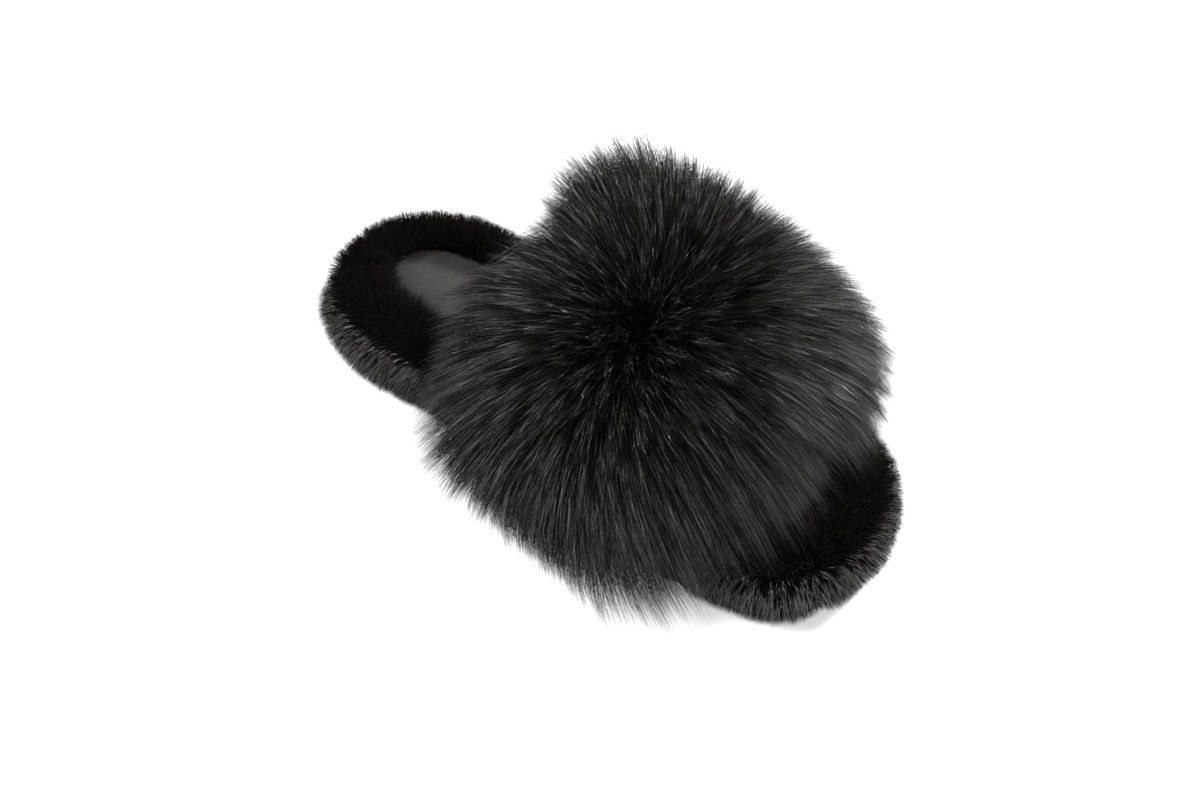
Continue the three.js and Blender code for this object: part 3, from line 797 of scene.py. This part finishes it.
def margin(y, side, out):
    """The lining's turned-in margin at Y on one side: from under the footbed out and up to the
    spring line, a quarter of an ellipse."""
    core_x = arch_ends(y, 0.0)[0 if side > 0 else 1]
    edge_x = arch_ends(y, LINING_OUT)[0 if side > 0 else 1]
    under_x = arch_ends(y, -MARGIN_REACH)[0 if side > 0 else 1]
    angle = np.linspace(-np.pi / 2, 0, MARGIN_STEPS, endpoint=False)
    spring, drop = np.abs(edge_x - core_x) + out, PILE_Z - LINING_FOOT + out
    x = core_x[:, None] + side * spring[:, None] * np.cos(angle)
    x = np.concatenate([under_x[:, None], x], 1)
    z = np.broadcast_to(np.r_[PILE_Z - drop, PILE_Z + drop * np.sin(angle)], x.shape)
    return np.stack([x, np.broadcast_to(y[:, None], x.shape), z], -1)


def vamp_grid(out, has_margin, past=0.0, down=1.0):
    """Grid over the vamp at out from the lining's inner face, from past its front edge to past its
    rear one. Along its middle it goes from side -down to down, and near both edges from -1 to 1."""
    y = np.linspace(VAMP_FRONT - past, VAMP_REAR + past, VAMP_ROWS)
    to_edge = np.minimum(y - VAMP_FRONT, VAMP_REAR - y)
    reach = 1 + (down - 1) * smooth(*SKIRT_BLEND, to_edge)
    over = arch(y[:, None], reach[:, None] * np.linspace(-1, 1, VAMP_COLUMNS)[None], out)
    if not has_margin:
        return over
    return np.concatenate([margin(y, -1, out), over, margin(y, 1, out)[:, ::-1]], 1)


knit = Finish("lining_knit", Roughness=0.95, Sheen_Weight=0.2, Specular_IOR_Level=0.2)
knit_place = knit.place()
ribs = knit.node("TexWave", dict(bands_direction="Y"), {"Vector": knit_place, "Scale": 260.0}, "Fac")
rows_of_loops = knit.node("TexWave", dict(bands_direction="Z"), {"Vector": knit_place, "Scale": 190.0}, "Fac")
loops = ribs * rows_of_loops
knit_colour = knit.mixed(loops, (0.022, 0.021, 0.020), (0.06, 0.057, 0.053))
lining = layer(
    "lining_cloth",
    vamp_grid(LINING, True),
    vamp_grid(0.0, True),
    knit.paint(knit_colour, height=loops, depth=0.0003),
)
lining_middle = vamp_grid(LINING / 2, True)
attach(lining, "root")
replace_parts(lining, "vamp_lining")

inner_foam = Finish("interlining_foam", Roughness=0.95)
inner_place = inner_foam.place()
inner_cells = inner_foam.node("TexVoronoi", {}, {"Vector": inner_place, "Scale": 1300.0}, "Distance")
inner_tint = inner_foam.noise(inner_place, scale=50.0)
inner_colour = inner_foam.mixed(inner_tint, (0.5, 0.46, 0.37), (0.62, 0.58, 0.48))
interlining = layer(
    "interlining_foam",
    vamp_grid(LINING + LAYER_GAP + FOAM_LAYER, False),
    vamp_grid(LINING + LAYER_GAP, False),
    inner_foam.paint(inner_colour, height=inner_cells, depth=0.0003),
)
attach(interlining, "root")
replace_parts(interlining, "vamp_interlining")


# ------------------------------------------------------------------ vamp bindings
# Grosgrain tape over the raw edges of lining and foam, folded onto the lining's inside and
# sewn through with one row of stitches.

tape = Finish("binding_tape", Specular_IOR_Level=0.35)
tape_place = tape.place()
grosgrain = tape.node("TexWave", dict(bands_direction="Y"), {"Vector": tape_place, "Scale": 420.0}, "Fac")
tape_colour = tape.mixed(grosgrain, (0.008, 0.008, 0.008), (0.022, 0.021, 0.02))
tape_finish = tape.paint(tape_colour, 0.7 - 0.2 * grosgrain, grosgrain, 0.0002)
TAPE, TAPE_REACH = 0.0008, 0.006
ROW_INSIDE = 0.0015  # from the tape's inner edge to the row of stitches
ROW_STITCHES, ROW_POINTS, ROW_END = 34, 560, 0.97
ROW_SUNK, ROW_DIP = 0.0002, 0.0003
TAPE_POINTS = 121


def binding(name, edge, facing):
    """Tape folded over an edge: a J of the tape's thickness, carried over the arch. facing is 1 at
    the rear edge and -1 at the front."""
    top = LINING + LAYER_GAP + FOAM_LAYER
    inner = [(-LAYER_GAP, -TAPE_REACH), (-LAYER_GAP, LAYER_GAP), (top, LAYER_GAP)]
    outer = [(-LAYER_GAP - TAPE, -TAPE_REACH), (-LAYER_GAP - TAPE, LAYER_GAP + TAPE), (top, LAYER_GAP + TAPE)]
    side = np.linspace(-1, 1, TAPE_POINTS)
    grids = []
    for profile in (outer, inner):
        rows = []
        for out, past in profile:
            on_edge = arch(np.full(TAPE_POINTS, edge), side, out)
            on_edge[:, 1] += facing * past
            rows.append(on_edge)
        grids.append(np.stack(rows))
    piece = layer(name, *grids, tape_finish)
    bevel = piece.modifiers.new("fold", "BEVEL")
    bevel.width, bevel.segments = TAPE * 0.4, 2
    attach(piece, "root")
    return piece


def binding_stitches(name, edge, facing):
    """Lock stitches along the tape's inner face, dipping into it at each hole."""
    side = np.linspace(-ROW_END, ROW_END, ROW_POINTS)
    dips = np.abs(np.sin(np.linspace(0, ROW_STITCHES * np.pi, ROW_POINTS))) ** 0.5
    row_y = edge - facing * (TAPE_REACH - ROW_INSIDE)
    line = arch(np.full(ROW_POINTS, row_y), side, -LAYER_GAP - TAPE)
    line[:, 2] -= ROW_SUNK + ROW_DIP * dips
    return thread(name, line, THIN_THREAD, grey_thread, loops=False)


for end, edge, facing in (("rear", VAMP_REAR, 1), ("front", VAMP_FRONT, -1)):
    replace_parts(binding(f"{end}_binding", edge, facing), f"vamp_{end}_binding")
    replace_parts(binding_stitches(f"{end}_stitches", edge, facing), f"vamp_{end}_stitching")


# ------------------------------------------------------------------ long fur of the vamp
# One dyed fox-type pelt over the whole vamp: a skin, thick short underfur that hides it, long
# guard hairs in locks, pale hairs among them whose pale colour is a painted highlight, more of them on one
# flank as a painted sheen band, and a few stray wisps in that pale finish.
# They stand round the crown and fall over the sides to the floor.

SKIN_OUT = LINING + 2 * LAYER_GAP + FOAM_LAYER
FUR_SKIN = 0.0009
SKIN_PAST, SKIN_DOWN = 0.0015, 1.18
skin_outside = vamp_grid(SKIN_OUT + FUR_SKIN, False, SKIN_PAST, SKIN_DOWN)
skin_inside = vamp_grid(SKIN_OUT, False, SKIN_PAST, SKIN_DOWN)
vamp_skin = layer("vamp_skin", skin_outside, skin_inside, pelt_finish)
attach(vamp_skin, "root")
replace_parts(vamp_skin, "vamp_fur")

ball_low, ball_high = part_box("vamp_fur")
BALL_HALF_SIZE = np.array([(ball_high[0] - ball_low[0]) / 2, 0.089, 0.088])
BALL_MIDDLE = np.array([0.0, -0.030, ball_high[2] - BALL_HALF_SIZE[2]])
PROUD = 1.025  # the ball's reach is this much larger than the ellipsoid
SIDE_LIMIT = math.radians(132)
TOE_FRINGE, TOE_DROP = 0.036, 0.018  # height of the fringe over the toe, and how far below it tips start
FRINGE_LOWEST, HIGHEST_TIP = ball_low[2], ball_high[2] + 0.0135
FRINGE_ROOM = 0.005  # the low fringe stands at least this far outside the skin
CROWN, COMB = np.array([0.0, 0.36, 0.93]), 0.8
LOCK_SEED = 5
LOCK_SHORT, LOCK_LONGER, LOCK_TURN = 0.93, 0.11, 0.05
ROOT_SIDE, ROOT_FRONT, ROOT_REAR = math.radians(84), 0.74, 0.66  # where the outermost roots stand
LOWEST_ROOT = 1.14
# Where the coat stands proud of the ball or falls short of it: a direction, its share, its spread.
TUFTS = (
    ((0.13, 0.62, 0.77), 0.12, 0.04),
    ((-0.06, 0.81, 0.57), -0.24, 0.035),
    ((0.16, 0.94, 0.30), -0.17, 0.03),
    ((0.55, 0.50, 0.66), 0.11, 0.05),
    ((0.93, -0.12, 0.33), -0.08, 0.08),
    ((-0.76, -0.45, -0.49), 0.20, 0.035),
    ((-0.40, -0.85, -0.30), 0.10, 0.04),
    ((-0.74, 0.62, -0.27), 0.17, 0.035),
    ((0.60, -0.78, 0.05), 0.08, 0.08),
)


def ball_reach(toward):
    """Length from the ball's middle to its surface in a direction: an ellipsoid with soft bumps."""
    share = np.full(len(toward), PROUD)
    for bearing, rise, spread in TUFTS:
        nearness = toward @ (np.array(bearing) / np.linalg.norm(bearing))
        share += rise * np.exp(-(1 - nearness) / spread)
    return share / np.linalg.norm(toward / BALL_HALF_SIZE, axis=1)


def beside(points, reach):
    """True where a point's X is outside the core line moved out by reach."""
    right, left = arch_ends(points[:, 1], reach)
    return (points[:, 0] > right) | (points[:, 0] < left)


def outside_way(points, room):
    """True where a point isn't in the foot's way: the arch, run straight on past both edges."""
    inside = np.clip(points[:, 1], VAMP_FRONT, VAMP_REAR)
    right, left = arch_ends(inside, LINING_OUT)
    rise = VAMP_TOP - VAMP_FALL * (VAMP_REAR - inside) / VAMP_SPAN - PILE_Z + SKIN_OUT - room
    half = (right - left) / 2 + SKIN_OUT - room
    across = np.abs(points[:, 0] - (right + left) / 2) / half
    up = np.maximum(points[:, 2] - PILE_Z, 0) / rise
    return across**VAMP_SQUARENESS + up**VAMP_SQUARENESS > 1


def long_coat(count, seed, shortest, longest, gather, locks, stray=False):
    """Roots, middles and tips of long hair. A tip lies out in a random direction at the ball's reach
    times the hair's length, pulled towards the tip of the lock it belongs to. Its root stands on the
    skin below it, nearer the crown, so the hair falls outwards. Unless they are stray, hairs that
    would hang in the foot's way are left out. Low ones are pushed clear of the skin's sides, and
    those over the toe end above its rim."""
    rng = np.random.default_rng(seed)
    toward = unit(rng.standard_normal((count * 3, 3)))
    lock = unit(np.random.default_rng(LOCK_SEED).standard_normal((locks, 3)))
    around = np.arctan2(toward[:, 0], toward[:, 2])
    tip = BALL_MIDDLE + toward * ball_reach(toward)[:, None]
    over_toe = (tip[:, 1] < VAMP_FRONT - 0.006) & (tip[:, 2] > TOE_FRINGE - TOE_DROP)
    over_rim = (tip[:, 1] > VAMP_REAR) & beside(tip, -0.004)
    over_rim |= (tip[:, 1] < VAMP_FRONT) & beside(tip, 0.012)
    keep = (np.abs(around) < SIDE_LIMIT) & (tip[:, 2] > FRINGE_LOWEST)
    keep &= stray | over_toe | over_rim | outside_way(tip, 0.004)
    toward = toward[keep][:count]

    nearest = np.concatenate([np.argmax(part @ lock.T, axis=1) for part in np.array_split(toward, 24)])
    lock_rng = np.random.default_rng(seed + 100)
    lock_long = LOCK_SHORT + LOCK_LONGER * lock_rng.random(locks)
    lock_turn = LOCK_TURN * lock_rng.standard_normal((locks, 3))
    pull = gather * rng.random(len(toward))[:, None] ** 0.5
    aim = unit(toward * (1 - pull) + (lock[nearest] + lock_turn[nearest]) * pull)
    length = (shortest + (longest - shortest) * rng.random(len(toward)) ** 0.6) * lock_long[nearest]

    combed = unit(toward + COMB * CROWN)
    slope = np.arctan2(combed[:, 0], combed[:, 2] + 0.8 * np.maximum(-combed[:, 1], 0) ** 2)
    side = np.clip(slope / ROOT_SIDE, -1, 1)
    side = 1.10 * np.sign(side) * np.abs(side) ** 1.12 + 0.02 * rng.standard_normal(len(side))
    side = np.clip(side, -LOWEST_ROOT, LOWEST_ROOT)
    fore = combed[:, 1] / np.where(combed[:, 1] > 0, ROOT_REAR, ROOT_FRONT)
    fore = np.clip(fore + 0.03 * rng.standard_normal(len(fore)), -1, 1)
    y = (VAMP_FRONT + VAMP_REAR) / 2 + (VAMP_SPAN / 2 - 0.001) * fore
    root = arch(y, side, SKIN_OUT + FUR_SKIN - ROOT_DEPTH)

    tip = root + (BALL_MIDDLE + aim * ball_reach(aim)[:, None] - root) * length[:, None]
    spring = arch(tip[:, 1], np.sign(tip[:, 0]), SKIN_OUT + FRINGE_ROOM)[:, 0]
    low = 1 - smooth(0.035, 0.06, tip[:, 2])
    low *= smooth(VAMP_FRONT - 0.012, VAMP_FRONT - 0.004, tip[:, 1])
    low *= 1 - smooth(VAMP_REAR, VAMP_REAR + 0.01, tip[:, 1])
    short = np.maximum(np.abs(spring) - np.abs(tip[:, 0]), 0) * low
    tip[:, 0] += np.sign(tip[:, 0]) * short * (0.8 + 0.4 * rng.random(len(tip)))
    on_toe = (tip[:, 1] < VAMP_FRONT) & ~beside(tip, 0.010)
    toe_end = np.maximum(tip[:, 2], TOE_FRINGE + 0.004 * rng.random(len(tip)))
    tip[:, 2] = np.where(on_toe, toe_end, tip[:, 2])
    tip[:, 2] = np.clip(tip[:, 2], FRINGE_LOWEST + 0.002 * rng.random(len(tip)), HIGHEST_TIP)

    normal = unit(arch(y, side, SKIN_OUT + 0.004) - root)
    far = np.linalg.norm(tip - root, axis=1, keepdims=True)
    middle = root + normal * far * (0.42 + 0.12 * rng.random((len(root), 1)))
    middle += 0.0016 * rng.standard_normal(middle.shape)
    return rng, root, middle, tip


FOX_DYE = dict(root_colour=(0.0012, 0.0012, 0.0012), tip_colour=(0.0036, 0.0034, 0.0032))
fox_down = fur_finish(
    "fox_underfur", **FOX_DYE, pale_colour=(0.009, 0.0085, 0.008), roughness=0.6, pale_from=0.6, gloss=0.0
)
fox_guard = fur_finish(
    "fox_guard_hair", **FOX_DYE, pale_colour=(0.04, 0.038, 0.036), roughness=0.26, pale_from=0.62, gloss=0.02
)
# Pale hairs whose colour is a painted highlight: glints standing in for light caught on the black coat's
# strands.
fox_glint_hair = fur_finish(
    "fox_painted_highlight_hair", **FOX_DYE, pale_colour=(0.26, 0.25, 0.24), roughness=0.2, pale_from=0.5, gloss=1.0
)

on_vamp = ("vamp_fur", "long_fur")
FINE_RINGS = (0.0, 0.35, 0.7)
drawn = long_coat(34000, 21, shortest=0.55, longest=0.97, gather=0.35, locks=1500)
coat("vamp_underfur", *on_vamp, 15000, fox_down, drawn, 0.00042, 0.0002, rings=(0.0, 0.55))
drawn = long_coat(37000, 22, shortest=0.84, longest=1.11, gather=0.66, locks=1700)
coat("vamp_guard_hair", *on_vamp, 11500, fox_guard, drawn, 0.00028, 0.00014, rings=(0.0, 0.4, 0.76))
# Pale hairs all over the coat: painted highlights.
drawn = long_coat(13000, 23, shortest=0.84, longest=1.13, gather=0.35, locks=2200)
coat("vamp_painted_highlight_hair", *on_vamp, 11500, fox_glint_hair, drawn, 0.00024, 0.00012, FINE_RINGS)

SHEEN_FLANK_WAY = np.array([0.616, -0.788, 0.0])  # the flank with the painted sheen band of pale hairs lies this way
SHEEN_FLANK_FROM = 0.077
# A painted sheen band: extra pale hairs kept only on that flank, where the light falls on the combed coat.
rng, *ends = long_coat(20000, 25, shortest=0.88, longest=1.1, gather=0.4, locks=1700)
in_sheen_band = SHEEN_FLANK_WAY @ ends[2].T > SHEEN_FLANK_FROM
drawn = (rng, *(end[in_sheen_band] for end in ends))
coat("vamp_flank_sheen_hair", *on_vamp, 11500, fox_glint_hair, drawn, 0.00024, 0.00012, FINE_RINGS)

# Stray wisps over the heel's far rim, in the same pale finish, so they carry painted highlights too.
WISPS_REAR_OF, WISPS_RIGHT_OF, WISPS_LOW, WISPS_HIGH = 0.055, 0.008, 0.034, 0.09
rng, *ends = long_coat(11000, 24, shortest=1.08, longest=1.45, gather=0.92, locks=330, stray=True)
x, y, z = ends[2].T
wisps = (y > WISPS_REAR_OF) & (x > WISPS_RIGHT_OF) & (z < WISPS_HIGH) & (z > WISPS_LOW)
drawn = (rng, *(end[wisps] for end in ends))
coat("vamp_wisps", *on_vamp, 9000, fox_glint_hair, drawn, 0.00034, 0.00012, FINE_RINGS)
